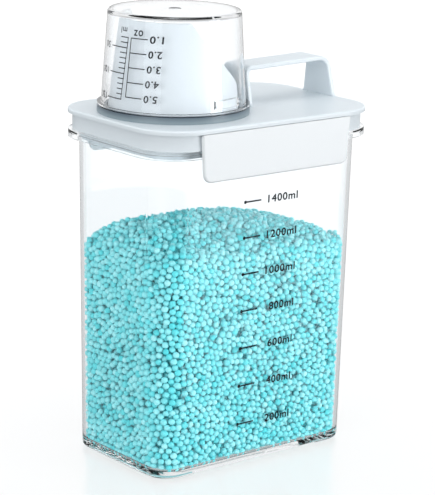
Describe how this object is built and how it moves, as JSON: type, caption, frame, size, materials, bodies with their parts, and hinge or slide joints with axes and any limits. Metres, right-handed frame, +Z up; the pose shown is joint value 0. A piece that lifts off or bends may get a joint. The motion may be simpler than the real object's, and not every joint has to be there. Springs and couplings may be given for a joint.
{
  "type": "laundry detergent dispenser",
  "caption": "Clear drafted container of washing beads with a white lid, round pouring spout, strap handle, two long side latches and a clear measuring cup as the cap.",
  "frame": {"origin": "on the floor, under the middle of the container", "axes": "+Z up; X along the container, with the spout at the -X end and the handle at the +X end; the latches are on the -Y and +Y sides"},
  "size_m": [0.147, 0.1014, 0.2406],
  "materials": {
    "clear_container": "clear, glossy",
    "beads": "waxy",
    "white_lid": "satin",
    "white_latch": "satin",
    "clear_silicone": "matt",
    "clear_cup": "clear, glossy",
    "grey_silicone": "satin"
  },
  "bodies": {
    "container_and_lid": {"container": "clear_container", "detergent_beads": "beads", "lid": "white_lid", "lid_seal": "clear_silicone", "cup_seal": "grey_silicone"},
    "front_latch": {"latch_front": "white_latch"},
    "rear_latch": {"latch_rear": "white_latch"},
    "cup": {"measuring_cup": "clear_cup"}
  },
  "joints": [
    {"name": "latch_front_open", "type": "hinge", "parent": "container_and_lid", "child": "front_latch", "pos_m": [0, -0.05072, 0.18435], "axis": [-1, 0, 0], "range_deg": [0, 110]},
    {"name": "latch_rear_open", "type": "hinge", "parent": "container_and_lid", "child": "rear_latch", "pos_m": [0, 0.05072, 0.18435], "axis": [1, 0, 0], "range_deg": [0, 110]},
    {"name": "cup_lift", "type": "slide", "parent": "container_and_lid", "child": "cup", "axis": [0, 0, 1], "range_m": [0, 0.06]}
  ]
}
